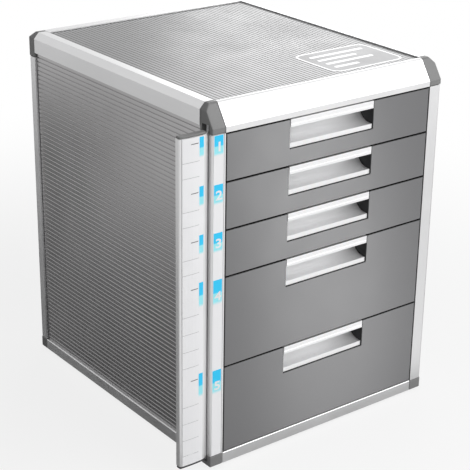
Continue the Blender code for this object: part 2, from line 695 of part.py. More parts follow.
def build_handle(number, top, body):
    """Make one handle: a flange over a round scoop that ends in a lower lip."""
    centre = (HANDLE_SCOOP_Y, -HANDLE_H + HANDLE_LIP_H + HANDLE_SCOOP_R)
    back = HANDLE_SCOOP_Y + HANDLE_SCOOP_R
    scoop = arc(centre, HANDLE_SCOOP_R, 0, -90, SCOOP_STEPS)
    path = [(HANDLE_WALL, -HANDLE_FLANGE_H), (HANDLE_WALL, -HANDLE_WALL), (back, -HANDLE_WALL), *scoop,
            (HANDLE_WALL, scoop[-1][1]), (HANDLE_WALL, -HANDLE_H)]
    levels = (-HANDLE_FLANGE_H * HANDLE_LINE_SHARE, -HANDLE_H + HANDLE_LIP_H * (1 - HANDLE_LINE_SHARE))
    outline = with_face_lines(ribbon(path[::-1], HANDLE_WALL), levels)
    name = f"drawer_{number}_handle"
    mesh = extruded_mesh(name, outline, HANDLE_W)
    add_piece(name, mesh, BRIGHT_ALUMINIUM, body, along_x(-HANDLE_W / 2, HANDLE_W / 2, 0.0, top))


def build_drawers(frame):
    """Make the five drawers, each on its own empty."""
    for number, low, pitch in drawer_slots():
        body = new_empty(f"drawer_{number}_slide", (0.0, 0.0, 0.0), frame)
        build_tray(number, low, pitch, body)
        top = build_fascia(number, low, pitch, body)
        build_handle(number, top, body)


def flap_path():
    """Give the flap's outer face in (u, v) from its neck to its outer edge."""
    corner_u, corner_v = FLAP_W - FLAP_CORNER_R, FLAP_FRONT_V - FLAP_CORNER_R
    crown = []
    for step in range(1, ARC_STEPS):
        share = step / ARC_STEPS
        rise = FLAP_CROWN * math.sin(math.pi * share)
        crown.append((FLAP_NECK_U + (corner_u - FLAP_NECK_U) * share, FLAP_FRONT_V + rise))
    start = BARREL_R / 2
    bend = [(start, start + FLAP_WALL), (FLAP_NECK_U * NECK_BEND_U, FLAP_FRONT_V * NECK_BEND_V),
            (FLAP_NECK_U, FLAP_FRONT_V)]
    corner = arc((corner_u, corner_v), FLAP_CORNER_R, 90, 0, FLAP_CORNER_STEPS)
    return bend + crown + corner + [(FLAP_W, FLAP_EDGE_V)]


def flap_to_xy(points):
    """Turn (u, v) points of the flap into (x, y) about its hinge axis."""
    return [(-u, -v) for u, v in points]


def build_flap(frame):
    """Make the index flap with its hinge barrel, its end caps and its card."""
    body = new_empty("index_flap_hinge", (HINGE_X, HINGE_Y, 0.0), frame)
    low, high = OPENING_LOW + FLAP_LOW_RISE, OPENING_TOP + FLAP_TOP_RISE
    barrel_low, barrel_high = OPENING_LOW + BARREL_END_GAP, OPENING_TOP - BARREL_END_GAP
    outline = flap_to_xy(ribbon(flap_path(), FLAP_WALL))
    flap = add_piece("index_flap", extruded_mesh("index_flap", outline, high - low), SATIN_ALUMINIUM, body,
                     along_z(low, high))
    barrel_length = high + OVERRUN - barrel_low
    barrel = cylinder_mesh("flap_barrel", BARREL_R, barrel_length)
    place = Matrix.Translation((0.0, 0.0, barrel_low + barrel_length / 2))
    combine(flap, add_tool("flap_barrel", barrel, body, place), "UNION")
    bore = cylinder_mesh("flap_bore", BARREL_BORE_R, high - low + 4 * OVERRUN, ROUND_SIDES)
    combine(flap, add_tool("flap_bore", bore, body, Matrix.Translation((0.0, 0.0, (low + high) / 2))))
    reach = BARREL_R + OVERRUN
    trim = boxes_mesh("flap_trim", [((-HINGE_X_IN - GAP - SOFT_EDGE, -FLAP_W, barrel_high),
                                     (reach, FLAP_W, high + 2 * OVERRUN))])
    combine(flap, add_tool("flap_trim", trim, body))

    cap_u = FLAP_NECK_U * FLAP_CAP_INNER
    inner = [point for point in flap_path() if point[0] > cap_u]
    edge_v = FLAP_EDGE_V + FLAP_CAP_SET
    outline = flap_to_xy([(cap_u, edge_v), (cap_u, FLAP_FRONT_V - FLAP_WALL), *inner[:-1], (FLAP_W, edge_v)])
    for name, cap_low in (("lower", low - GAP - FLAP_CAP_T), ("upper", high + GAP)):
        mesh = extruded_mesh(f"flap_cap_{name}", outline, FLAP_CAP_T)
        cap = add_piece(f"flap_cap_{name}", mesh, CORNER_PLASTIC, body,
                        along_z(cap_low, cap_low + FLAP_CAP_T))
        soften(cap, SOFT_EDGE / 2)

    outer_u = FLAP_W - CARD_OUTER_MARGIN
    face = []
    for step in range(ARC_STEPS + 1):
        share = step / ARC_STEPS
        u = CARD_INNER_U + (outer_u - CARD_INNER_U) * share
        span = (u - FLAP_NECK_U) / (FLAP_W - FLAP_CORNER_R - FLAP_NECK_U)
        face.append((u, FLAP_FRONT_V + FLAP_CROWN * math.sin(math.pi * span) + GAP + CARD_T))
    mesh = extruded_mesh("index_card", flap_to_xy(ribbon(face, CARD_T)), high - low - 2 * GAP)
    add_piece("index_card", mesh, CARD, body, along_z(low + GAP, high - GAP))


def build_pins(frame):
    """Make the two hinge pins that stand in the left front corners and hold the flap's barrel."""
    for name, seat, way in (("lower", OPENING_LOW, -1), ("upper", OPENING_TOP, 1)):
        outer = seat + way * (PIN_NOTCH_H + PIN_HOLE_D - PIN_END_GAP)
        inner = seat - way * PIN_IN_BARREL
        low, high = sorted((outer, inner))
        mesh = cylinder_mesh("pin", PIN_R, high - low)
        add_piece(f"hinge_pin_{name}", mesh, DARK_STEEL, frame,
                  Matrix.Translation((HINGE_X, HINGE_Y, (low + high) / 2)))


def smooth_round_pieces():
    """Shade every mesh smooth, with its sharp edges kept."""
    for piece in PARTS.objects:
        if piece.type == "MESH":
            piece.data.shade_smooth()
            piece.data.set_sharp_from_angle(angle=SHARP_ANGLE)


clear_scene()
PARTS = new_collection("desktop_file_drawer")
CUTTERS = new_collection("cutters")

SATIN_ALUMINIUM = new_material("satin_aluminium", (0.72, 0.72, 0.73), 0.38, 0.85)
BRIGHT_ALUMINIUM = new_material("bright_aluminium", (0.82, 0.82, 0.83), 0.24, 0.9)
TOP_SHEET = new_material("top_sheet", (0.52, 0.52, 0.52), 0.42, 0.4)
SIDE_SHEET = new_material("side_sheet", (0.17, 0.165, 0.17), 0.42, 0.4)
FRONT_PLASTIC = new_material("front_plastic", (0.20, 0.20, 0.205), 0.5)
CORNER_PLASTIC = new_material("corner_plastic", (0.16, 0.16, 0.16), 0.5)
DARK_PLASTIC = new_material("dark_plastic", (0.06, 0.06, 0.062), 0.55)
DARK_STEEL = new_material("dark_steel", (0.36, 0.36, 0.37), 0.3, 0.9)
CARD = new_material("card", (0.88, 0.88, 0.9), 0.6)
RUBBER = new_material("rubber", (0.02, 0.02, 0.02), 0.8)

CABINET = new_empty("cabinet_frame", (CABINET_X, CABINET_Y, 0.0))
build_top_rails(CABINET)
build_corners(CABINET)
build_base_rails(CABINET)
build_posts(CABINET)
build_label_strip(CABINET)
build_panels(CABINET)
build_feet(CABINET)
build_liners(CABINET)
build_drawers(CABINET)
build_flap(CABINET)
build_pins(CABINET)
smooth_round_pieces()
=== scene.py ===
"""Desktop file drawer: finishes, printed labels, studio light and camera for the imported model.

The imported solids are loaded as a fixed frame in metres, with +Z up and the drawers facing -Y.
Each sub-assembly below dresses its own nodes and adds its printed pieces to them.
"""

from __future__ import annotations

import json
import logging
import math
from collections.abc import Callable
from dataclasses import dataclass, field
from enum import Enum

import bmesh
import bpy
from mathutils import Euler, Matrix, Vector

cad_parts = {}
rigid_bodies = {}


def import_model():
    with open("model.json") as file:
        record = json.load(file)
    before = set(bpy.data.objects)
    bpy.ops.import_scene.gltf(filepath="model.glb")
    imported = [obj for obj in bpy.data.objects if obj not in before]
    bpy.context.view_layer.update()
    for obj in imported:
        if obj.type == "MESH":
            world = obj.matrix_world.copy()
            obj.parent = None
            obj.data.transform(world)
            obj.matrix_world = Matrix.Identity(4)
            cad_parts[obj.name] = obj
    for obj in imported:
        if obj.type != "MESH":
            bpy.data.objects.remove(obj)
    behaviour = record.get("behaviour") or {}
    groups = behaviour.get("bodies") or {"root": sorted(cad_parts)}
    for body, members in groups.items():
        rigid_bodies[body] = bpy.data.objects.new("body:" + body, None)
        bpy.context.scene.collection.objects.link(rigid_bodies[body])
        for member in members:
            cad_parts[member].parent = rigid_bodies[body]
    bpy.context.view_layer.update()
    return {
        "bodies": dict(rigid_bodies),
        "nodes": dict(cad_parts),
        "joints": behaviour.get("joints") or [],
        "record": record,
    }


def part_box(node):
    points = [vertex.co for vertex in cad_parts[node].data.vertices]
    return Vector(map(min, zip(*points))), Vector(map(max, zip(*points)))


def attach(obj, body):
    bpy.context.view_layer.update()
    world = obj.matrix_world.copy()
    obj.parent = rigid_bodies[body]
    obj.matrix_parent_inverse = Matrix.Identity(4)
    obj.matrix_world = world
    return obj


LOG = logging.getLogger("desktop_file_drawer")

Colour = tuple[float, float, float]
Outline = list[tuple[float, float]]
Span = tuple[float, float]
Socket = bpy.types.NodeSocket

# Where the largest part of a normal makes a face start to be square to an axis, and fully square
SQUARE: Span = (0.7, 0.95)
# The same for a normal's part along x or y and a face that looks towards -x or -y
TOWARDS_MINUS: Span = (-0.6, -0.85)
# The greatest y that a normal on the card's printed face has
CARD_FACE_NORMAL = -0.7
# A digit's height in its font at size 1, and how far it is drawn bolder, as a share of its height
FONT_DIGIT_HEIGHT = 0.7
DIGIT_WEIGHT = 0.03


class Run(Enum):
    """The way that an extrusion or a sheet was drawn, which its fine lines follow.

    A value says how fine the lines are along x, y and z.
    """

    ALONG_X = (9.0, 700.0, 700.0)
    ALONG_Y = (700.0, 9.0, 700.0)
    ALONG_Z = (700.0, 700.0, 9.0)
    NONE = (420.0, 420.0, 420.0)


# Shader effects


class NodeSketch:
    """A node tree while it is being drawn."""

    def __init__(self, tree: bpy.types.NodeTree) -> None:
        """Keep the tree that the nodes go into."""
        self.tree = tree

    def node(self, kind: str, **values: float | str) -> bpy.types.Node:
        """Add a node.

        Args:
            kind: The node's type.
            values: Properties of the node.

        Returns:
            The new node.
        """
        made = self.tree.nodes.new(kind)
        for name, value in values.items():
            setattr(made, name, value)
        return made

    def group(self, effect: bpy.types.NodeTree, **values: float | Colour) -> bpy.types.Node:
        """Place a shared shader group.

        Args:
            effect: The group.
            values: Values of its inputs.

        Returns:
            The group node.
        """
        made = self.node("ShaderNodeGroup", node_tree=effect)
        for name, value in values.items():
            made.inputs[name].default_value = value
        return made

    def fill(self, target: Socket, value: Socket | Vector | Colour | float) -> None:
        """Link a socket to another one, or give it a plain value."""
        if isinstance(value, Socket):
            self.tree.links.new(value, target)
        else:
            target.default_value = value

    def math(self, operation: str, *values: Socket | float) -> Socket:
        """Do one step of arithmetic and return the result's socket."""
        made = self.node("ShaderNodeMath", operation=operation)
        for target, value in zip(made.inputs, values):
            self.fill(target, value)
        return made.outputs["Value"]

    def ramp(self, value: Socket, span: Span, low: Socket | float = 0.0,
             top: Socket | float = 1.0, smooth: bool = True) -> Socket:
        """Go from one level to another while a value goes from one end of a span to the other.

        Args:
            value: The value's socket.
            span: Where the change starts and where it ends.
            low: The level at its start.
            top: The level at its end.
            smooth: Whether it starts and ends gently.

        Returns:
            The result's socket.
        """
        way = "SMOOTHSTEP" if smooth else "LINEAR"
        made = self.node("ShaderNodeMapRange", interpolation_type=way)
        for name, level in zip(("From Min", "From Max", "To Min", "To Max"), (*span, low, top)):
            self.fill(made.inputs[name], level)
        self.fill(made.inputs["Value"], value)
        return made.outputs["Result"]

    def mix(self, first: Socket | Colour, second: Socket | Colour, share: Socket) -> Socket:
        """Mix two colours and return the result's socket.

        Args:
            first: The colour where the share is 0.
            second: The colour where the share is 1.
            share: The share's socket.

        Returns:
            The mixed colour's socket.
        """
        made = self.node("ShaderNodeMix", data_type="RGBA")
        self.fill(made.inputs["Factor"], share)
        for side, colour in (("A", first), ("B", second)):
            self.fill(made.inputs[side], (*colour, 1.0) if isinstance(colour, tuple) else colour)
        return made.outputs["Result"]

    def in_mirrors(self, path: bpy.types.Node) -> Socket:
        """Give 1 to a ray that a surface has mirrored or let through, and 0 to any other."""
        mirrored, let_through = path.outputs["Is Glossy Ray"], path.outputs["Is Transmission Ray"]
        return self.math("MAXIMUM", mirrored, let_through)


@dataclass(frozen=True)
class GroupSocket:
    """One socket on the outside of a shader group."""

    name: str
    value: float | Colour
    kind: str = "NodeSocketFloat"


class ShaderEffects:
    """The shader groups that several finishes share, each built once."""

    line_detail = 3.0
    line_roughness = 0.6
    line_middle = 0.5
    drift_detail = 4.0
    drift_span = (0.3, 0.7)
    grain_middle = 0.4

    def __init__(self) -> None:
        """Build every group."""
        self.drawn_lines = self._build_drawn_lines()
        self.tone_drift = self._build_tone_drift()
        self.moulded_grain = self._build_moulded_grain()

    @staticmethod
    def _start(name: str, inputs: list[GroupSocket], outputs: list[str]) -> tuple:
        """Start a group with its sockets.

        Args:
            name: The group's name.
            inputs: The sockets on its left side.
            outputs: The names of the sockets on its right side.

        Returns:
            The sketch of its tree, its input node's sockets and its output node's sockets.
        """
        tree = bpy.data.node_groups.new(name, "ShaderNodeTree")
        for socket in inputs:
            made = tree.interface.new_socket(socket.name, in_out="INPUT", socket_type=socket.kind)
            made.default_value = socket.value
        for output in outputs:
            tree.interface.new_socket(output, in_out="OUTPUT", socket_type="NodeSocketFloat")
        sketch = NodeSketch(tree)
        return sketch, sketch.node("NodeGroupInput").outputs, sketch.node("NodeGroupOutput").inputs

    def _build_drawn_lines(self) -> bpy.types.NodeTree:
        """Build the long fine lines of drawn or brushed metal.

        Returns:
            A group that turns a stretch into a tone near 1 and a height from 0 to 1.
        """
        sketch, given, results = self._start(
            "DrawnLines",
            [GroupSocket("Stretch", (1.0, 1.0, 1.0), "NodeSocketVector"),
             GroupSocket("Amount", 0.06)],
            ["Tone", "Height"])
        stretch = sketch.node("ShaderNodeVectorMath", operation="MULTIPLY")
        sketch.fill(stretch.inputs[0], sketch.node("ShaderNodeTexCoord").outputs["Object"])
        sketch.fill(stretch.inputs[1], given["Stretch"])
        noise = sketch.node("ShaderNodeTexNoise")
        sketch.fill(noise.inputs["Vector"], stretch.outputs["Vector"])
        sketch.fill(noise.inputs["Scale"], 1.0)
        sketch.fill(noise.inputs["Detail"], self.line_detail)
        sketch.fill(noise.inputs["Roughness"], self.line_roughness)
        centred = sketch.math("SUBTRACT", noise.outputs["Fac"], self.line_middle)
        sketch.fill(results["Tone"], sketch.math("MULTIPLY_ADD", centred, given["Amount"], 1.0))
        sketch.fill(results["Height"], noise.outputs["Fac"])
        return sketch.tree

    def _build_tone_drift(self) -> bpy.types.NodeTree:
        """Build a slow drift between two values over the surface.

        Returns:
            A group that turns a scale, a low and a high value into one value.
        """
        sketch, given, results = self._start(
            "ToneDrift",
            [GroupSocket("Scale", 14.0), GroupSocket("Low", 0.0), GroupSocket("High", 1.0)],
            ["Value"])
        noise = sketch.node("ShaderNodeTexNoise")
        sketch.fill(noise.inputs["Vector"], sketch.node("ShaderNodeTexCoord").outputs["Object"])
        sketch.fill(noise.inputs["Scale"], given["Scale"])
        sketch.fill(noise.inputs["Detail"], self.drift_detail)
        level = sketch.ramp(noise.outputs["Fac"], self.drift_span, given["Low"], given["High"],
                            smooth=False)
        sketch.fill(results["Value"], level)
        return sketch.tree

    def _build_moulded_grain(self) -> bpy.types.NodeTree:
        """Build the fine even grain of a moulded or painted surface.

        Returns:
            A group that turns a scale and an amount into a tone near 1 and a height from 0 to 1.
        """
        sketch, given, results = self._start(
            "MouldedGrain", [GroupSocket("Scale", 1800.0), GroupSocket("Amount", 0.04)],
            ["Tone", "Height"])
        cells = sketch.node("ShaderNodeTexVoronoi", feature="SMOOTH_F1")
        sketch.fill(cells.inputs["Vector"], sketch.node("ShaderNodeTexCoord").outputs["Object"])
        sketch.fill(cells.inputs["Scale"], given["Scale"])
        centred = sketch.math("SUBTRACT", cells.outputs["Distance"], self.grain_middle)
        sketch.fill(results["Tone"], sketch.math("MULTIPLY_ADD", centred, given["Amount"], 1.0))
        sketch.fill(results["Height"], cells.outputs["Distance"])
        return sketch.tree


class MaterialSketch(NodeSketch):
    """A material's node tree while it is being drawn."""

    def __init__(self, name: str) -> None:
        """Start a material with one Principled shader.

        Args:
            name: The material's name.
        """
        self.material = bpy.data.materials.new(name)
        self.material.use_nodes = True
        super().__init__(self.material.node_tree)
        self.shader = self.tree.nodes["Principled BSDF"]

    def put(self, name: str, value: Socket | Colour | float) -> None:
        """Give one of the shader's inputs a value or a socket's."""
        self.fill(self.shader.inputs[name], value)

    def paint(self, colour: Socket | Colour, tone: Socket) -> None:
        """Give the shader a colour that is scaled by a tone."""
        made = self.node("ShaderNodeVectorMath", operation="SCALE")
        self.fill(made.inputs[0], colour)
        self.fill(made.inputs["Scale"], tone)
        self.put("Base Color", made.outputs["Vector"])

    def drift(self, effects: ShaderEffects, scale: float, span: Span) -> Socket:
        """Give a value that drifts slowly between the two ends of a span."""
        made = self.group(effects.tone_drift, Scale=scale, Low=span[0], High=span[1])
        return made.outputs["Value"]

    def normal(self) -> bpy.types.Node:
        """Give a node with the three parts of the surface's own normal."""
        split = self.node("ShaderNodeSeparateXYZ")
        self.fill(split.inputs["Vector"], self.node("ShaderNodeTexCoord").outputs["Normal"])
        return split

    def flat_tone(self, tilted: float) -> Socket:
        """Give 1 on faces square to an axis and a lower tone, painted shade, on tilted ones such as
        a groove's.

        Args:
            tilted: The tone of the painted shade on the tilted faces.

        Returns:
            The tone's socket.
        """
        split = self.normal()
        parts = [self.math("ABSOLUTE", split.outputs[axis]) for axis in "XYZ"]
        largest = self.math("MAXIMUM", self.math("MAXIMUM", parts[0], parts[1]), parts[2])
        return self.ramp(largest, SQUARE, tilted, smooth=False)

    def bump(self, height: Socket, strength: float, distance: float) -> None:
        """Raise the surface by a height.

        Args:
            height: The height's socket.
            strength: How much of it shows, from 0 to 1.
            distance: The full height in metres.
        """
        made = self.node("ShaderNodeBump")
        self.fill(made.inputs["Strength"], strength)
        self.fill(made.inputs["Distance"], distance)
        self.fill(made.inputs["Height"], height)
        self.put("Normal", made.outputs["Normal"])


# Finishes


@dataclass(frozen=True)
class MetalFinish:
    """Anodised or painted metal with fine lines along the way it was drawn."""

    name: str
    slot: str
    colour: Colour
    metallic: float
    roughness: Span
    run: Run
    line_amount: float = 0.05
    line_height: float = 0.00002
    # Painted shade on tilted faces, such as the sheets' rib grooves; 1 paints none
    groove_tone: float = 1.0
    line_strength: float = 0.35
    drift_scale: float = 9.0
    drift: Span = (0.97, 1.03)
    rough_scale: float = 22.0

    def build(self, effects: ShaderEffects) -> bpy.types.Material:
        """Build the material.

        Args:
            effects: The shared shader groups.

        Returns:
            The material.
        """
        sketch = MaterialSketch(self.name)
        lines = sketch.group(effects.drawn_lines, Stretch=self.run.value, Amount=self.line_amount)
        drift = sketch.drift(effects, self.drift_scale, self.drift)
        tone = sketch.math("MULTIPLY", lines.outputs["Tone"], drift)
        # Painted shade in the grooves: tilted faces are darkened
        if self.groove_tone < 1.0:
            tone = sketch.math("MULTIPLY", tone, sketch.flat_tone(self.groove_tone))
        sketch.paint(self.colour, tone)
        sketch.put("Roughness", sketch.drift(effects, self.rough_scale, self.roughness))
        sketch.put("Metallic", self.metallic)
        sketch.bump(lines.outputs["Height"], self.line_strength, self.line_height)
        return sketch.material


@dataclass(frozen=True)
class PlasticFinish:
    """Moulded plastic or rubber with a fine even grain."""

    name: str
    slot: str
    colour: Colour
    roughness: Span
    grain_scale: float = 1800.0
    grain_amount: float = 0.06
    grain_height: float = 0.00003
    grain_strength: float = 0.3
    drift_scale: float = 7.0
    drift: Span = (0.97, 1.04)
    rough_scale: float = 30.0

    def build(self, effects: ShaderEffects) -> bpy.types.Material:
        """Build the material.

        Args:
            effects: The shared shader groups.

        Returns:
            The material.
        """
        sketch = MaterialSketch(self.name)
        grain = sketch.group(effects.moulded_grain, Scale=self.grain_scale,
                             Amount=self.grain_amount)
        drift = sketch.drift(effects, self.drift_scale, self.drift)
        sketch.paint(self.colour, sketch.math("MULTIPLY", grain.outputs["Tone"], drift))
        sketch.put("Roughness", sketch.drift(effects, self.rough_scale, self.roughness))
        sketch.bump(grain.outputs["Height"], self.grain_strength, self.grain_height)
        return sketch.material


@dataclass(frozen=True)
class FrontFinish:
    """The grey face of a drawer front, with painted shade on every side face: a near black with no
    shine, for the gaps between the fronts.

    The end walls that face -X, as the right ends of the handle pockets do, take a painted shade
    between the two.
    The face's shine is stretched one way by stretch, and turned by stretch_turn of a whole turn.
    """

    name: str
    slot: str
    colour: Colour
    core: Colour
    wall: Colour
    roughness: Span
    shine: float = 0.8
    stretch: float = 1.0
    stretch_turn: float = 0.25
    grain_scale: float = 2600.0
    grain_amount: float = 0.05
    grain_height: float = 0.00002
    grain_strength: float = 0.2
    drift_scale: float = 6.0
    drift: Span = (0.97, 1.03)
    rough_scale: float = 30.0

    def build(self, effects: ShaderEffects) -> bpy.types.Material:
        """Build the material.

        Args:
            effects: The shared shader groups.

        Returns:
            The material.
        """
        sketch = MaterialSketch(self.name)
        # Painted shade: faces that don't look towards -Y take the near black gap shade, or the
        # lighter shade where they look towards -X, and lose their shine
        split = sketch.normal()
        facing = sketch.ramp(split.outputs["Y"], TOWARDS_MINUS, smooth=False)
        painted_end_share = sketch.ramp(split.outputs["X"], TOWARDS_MINUS, smooth=False)
        sketch.put("Specular IOR Level", sketch.math("MULTIPLY", facing, self.shine))
        level = sketch.node("ShaderNodeTangent", direction_type="RADIAL", axis="Z")
        sketch.put("Tangent", level.outputs["Tangent"])
        sketch.put("Anisotropic", self.stretch)
        sketch.put("Anisotropic Rotation", self.stretch_turn)
        grain = sketch.group(effects.moulded_grain, Scale=self.grain_scale,
                             Amount=self.grain_amount)
        drift = sketch.drift(effects, self.drift_scale, self.drift)
        painted_side_shade = sketch.mix(self.core, self.wall, painted_end_share)
        sketch.paint(sketch.mix(painted_side_shade, self.colour, facing),
                     sketch.math("MULTIPLY", grain.outputs["Tone"], drift))
        sketch.put("Roughness", sketch.drift(effects, self.rough_scale, self.roughness))
        sketch.bump(grain.outputs["Height"], self.grain_strength, self.grain_height)
        return sketch.material


@dataclass(frozen=True)
class PaperFinish:
    """Smooth printed card."""

    name: str
    slot: str
    colour: Colour
    roughness: float = 0.5
    fibre_scale: float = 900.0
    fibre_amount: float = 0.015
    fibre_height: float = 0.00001
    fibre_strength: float = 0.15
    drift_scale: float = 12.0
    drift: Span = (0.985, 1.01)

    def build(self, effects: ShaderEffects) -> bpy.types.Material:
        """Build the material.

        Args:
            effects: The shared shader groups.

        Returns:
            The material.
        """
        sketch = MaterialSketch(self.name)
        fibre = sketch.group(effects.moulded_grain, Scale=self.fibre_scale,
                             Amount=self.fibre_amount)
        drift = sketch.drift(effects, self.drift_scale, self.drift)
        sketch.paint(self.colour, sketch.math("MULTIPLY", fibre.outputs["Tone"], drift))
        sketch.put("Roughness", self.roughness)
        sketch.bump(fibre.outputs["Height"], self.fibre_strength, self.fibre_height)
        return sketch.material


@dataclass(frozen=True)
class FadingInkFinish:
    """Printed ink that is solid at the top of a tag, paler below and gone at its foot.

    It is pale up to the first share of the tag's height in solid_span and solid from the second
    on, and it fades in over the shares in fade_span.
    """

    name: str
    slot: str
    ink: Colour
    pale: Colour
    card: Colour
    solid_span: Span = (0.44, 0.52)
    fade_span: Span = (0.0, 0.16)
    fibre_scale: float = 900.0
    fibre_amount: float = 0.02
    roughness: float = 0.45

    def build(self, effects: ShaderEffects) -> bpy.types.Material:
        """Build the material, which follows a tag's height from 0 at its foot to 1 at its top.

        Args:
            effects: The shared shader groups.

        Returns:
            The material.
        """
        sketch = MaterialSketch(self.name)
        split = sketch.node("ShaderNodeSeparateXYZ")
        sketch.fill(split.inputs["Vector"], sketch.node("ShaderNodeTexCoord").outputs["Generated"])
        height = split.outputs["Z"]
        inked = sketch.mix(self.pale, self.ink, sketch.ramp(height, self.solid_span))
        fibre = sketch.group(effects.moulded_grain, Scale=self.fibre_scale,
                             Amount=self.fibre_amount)
        sketch.paint(sketch.mix(self.card, inked, sketch.ramp(height, self.fade_span)),
                     fibre.outputs["Tone"])
        sketch.put("Roughness", self.roughness)
        return sketch.material


Finish = MetalFinish | PlasticFinish | FrontFinish | PaperFinish | FadingInkFinish

CARD_WHITE: Colour = (0.90, 0.90, 0.915)
TAG_BLUE: Colour = (0.022, 0.62, 1.0)
TAG_PALE_BLUE: Colour = (0.34, 0.86, 0.95)


class FinishBook:
    """Every finish of the object, built when it is first used."""

    def __init__(self, effects: ShaderEffects) -> None:
        """Keep the shared groups and start with no material made."""
        self.effects = effects
        self.made: dict[str, bpy.types.Material] = {}

    def material(self, finish: Finish) -> bpy.types.Material:
        """Return the finish's material, built once."""
        if finish.name not in self.made:
            self.made[finish.name] = finish.build(self.effects)
        return self.made[finish.name]

    def satin_aluminium(self, run: Run) -> MetalFinish:
        """Return the frame's anodised finish, drawn along the given way."""
        return MetalFinish(f"satin_aluminium_{run.name.lower()}", "satin_aluminium",
                           (0.73, 0.73, 0.735), 0.8, (0.36, 0.44), run)


BRIGHT_ALUMINIUM = MetalFinish("bright_aluminium", "bright_aluminium", (0.90, 0.90, 0.905), 0.5,
                               (0.31, 0.35), Run.ALONG_X, 0.02, 0.000001)
# The sheets take painted shade on the tilted faces of their rib grooves
TOP_SHEET = MetalFinish("top_sheet", "top_sheet", (0.235, 0.235, 0.238), 0.95, (0.34, 0.4),
                        Run.ALONG_Y, 0.05, 0.000005, groove_tone=0.6)
SIDE_SHEET = MetalFinish("side_sheet", "side_sheet", (0.45, 0.443, 0.447), 1.0, (0.28, 0.33),
                         Run.ALONG_Y, 0.06, 0.000005, groove_tone=0.3)
DARK_STEEL = MetalFinish("dark_steel", "dark_steel", (0.36, 0.36, 0.37), 0.9, (0.26, 0.34),
                         Run.ALONG_Z)
LABEL_GREY = MetalFinish("label_grey", "card", (0.18, 0.18, 0.183), 0.9, (0.36, 0.42), Run.NONE,
                         0.03, 0.000002)
LABEL_WHITE = MetalFinish("label_white", "card", (0.46, 0.46, 0.465), 0.9, (0.3, 0.36), Run.NONE,
                          0.03, 0.000002)
# Its near black and its dark grey are painted shade for the gaps and for the end walls that face -X
FRONT_PLASTIC = FrontFinish("front_plastic", "front_plastic", (0.070, 0.070, 0.0735),
                            (0.004, 0.004, 0.0045), (0.055, 0.055, 0.057), (0.40, 0.44))
CORNER_PLASTIC = PlasticFinish("corner_plastic", "corner_plastic", (0.20, 0.20, 0.20), (0.45, 0.55),
                               grain_scale=1500.0, grain_amount=0.12)
DARK_PLASTIC = PlasticFinish("dark_plastic", "dark_plastic", (0.05, 0.05, 0.052), (0.5, 0.6))
RUBBER = PlasticFinish("rubber", "rubber", (0.02, 0.02, 0.02), (0.75, 0.85), grain_scale=900.0,
                       grain_amount=0.2)
CARD = PaperFinish("card", "card", CARD_WHITE)
WHITE_INK = PaperFinish("white_ink", "card", (0.9, 0.9, 0.91), roughness=0.4)
GREY_INK = PaperFinish("grey_ink", "card", (0.42, 0.42, 0.43))
DARK_INK = PaperFinish("dark_ink", "card", (0.10, 0.10, 0.11))
TAG_INK = FadingInkFinish("tag_ink", "card", TAG_BLUE, TAG_PALE_BLUE, CARD_WHITE)


# Shared building methods


@dataclass
class Assembly:
    """A sub-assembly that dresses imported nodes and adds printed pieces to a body."""

    frame: dict
    book: FinishBook

    def dress(self, node: str, finish: Finish) -> None:
        """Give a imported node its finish.

        Args:
            node: The node's name.
            finish: The finish it takes.
        """
        piece = self.frame["nodes"][node]
        material = self.book.material(finish)
        if not piece.material_slots:
            piece.data.materials.append(material)
        for slot in piece.material_slots:
            slot.material = material
        LOG.info("dressed %s with %s", node, finish.name)

    def add(self, name: str, mesh: bpy.types.Mesh, finish: Finish, body: str,
            origin: Vector) -> bpy.types.Object:
        """Add a made piece to a body.

        Args:
            name: The piece's name.
            mesh: Its mesh, about its own origin.
            finish: The finish it takes.
            body: The body it rides on.
            origin: Where its own origin goes.

        Returns:
            The new piece.
        """
        mesh.materials.clear()
        mesh.materials.append(self.book.material(finish))
        piece = bpy.data.objects.new(name, mesh)
        piece.location = origin
        bpy.context.scene.collection.objects.link(piece)
        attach(piece, body)
        LOG.info("added %s on %s", name, body)
        return piece


def rectangle(left: float, right: float, low: float, high: float) -> Outline:
    """Give a rectangle's outline, counter-clockwise from its lower left corner."""
    return [(left, low), (right, low), (right, high), (left, high)]


def patches_mesh(name: str, outlines: list[Outline], depth_at: Callable[[float], float],
                 thickness: float) -> bpy.types.Mesh:
    """Make thin printed patches that face -Y.

    Args:
        name: The mesh's name.
        outlines: Closed outlines in (x, z), counter-clockwise as seen from the front.
        depth_at: Gives the y of the carrying surface at an x.
        thickness: How far the patches stand proud of that surface.

    Returns:
        A mesh with one closed thin solid for each outline.
    """
    mesh = bpy.data.meshes.new(name)
    whole = bmesh.new()
    for outline in outlines:
        front = [whole.verts.new((x, depth_at(x) - thickness, z)) for x, z in outline]
        back = [whole.verts.new((x, depth_at(x), z)) for x, z in outline]
        whole.faces.new(front)
        whole.faces.new(back[::-1])
        for number in range(len(outline)):
            after = (number + 1) % len(outline)
            whole.faces.new((front[after], front[number], back[number], back[after]))
    bmesh.ops.recalc_face_normals(whole, faces=whole.faces)
    whole.to_mesh(mesh)
    whole.free()
    return mesh


def rounded_outline(width: float, depth: float, radius: float, steps: int = 6) -> Outline:
    """Give a rectangle with round corners about its own middle, counter-clockwise.

    Args:
        width: Its length along x.
        depth: Its length along y.
        radius: The corners' radius.
        steps: How many straight pieces make each corner.

    Returns:
        Its outline in (x, y).
    """
    points = []
    for quarter, (side_x, side_y) in enumerate(((1, 1), (-1, 1), (-1, -1), (1, -1))):
        for step in range(steps + 1):
            angle = math.radians(90 * (quarter + step / steps))
            points.append((side_x * (width / 2 - radius) + radius * math.cos(angle),
                           side_y * (depth / 2 - radius) + radius * math.sin(angle)))
    return points


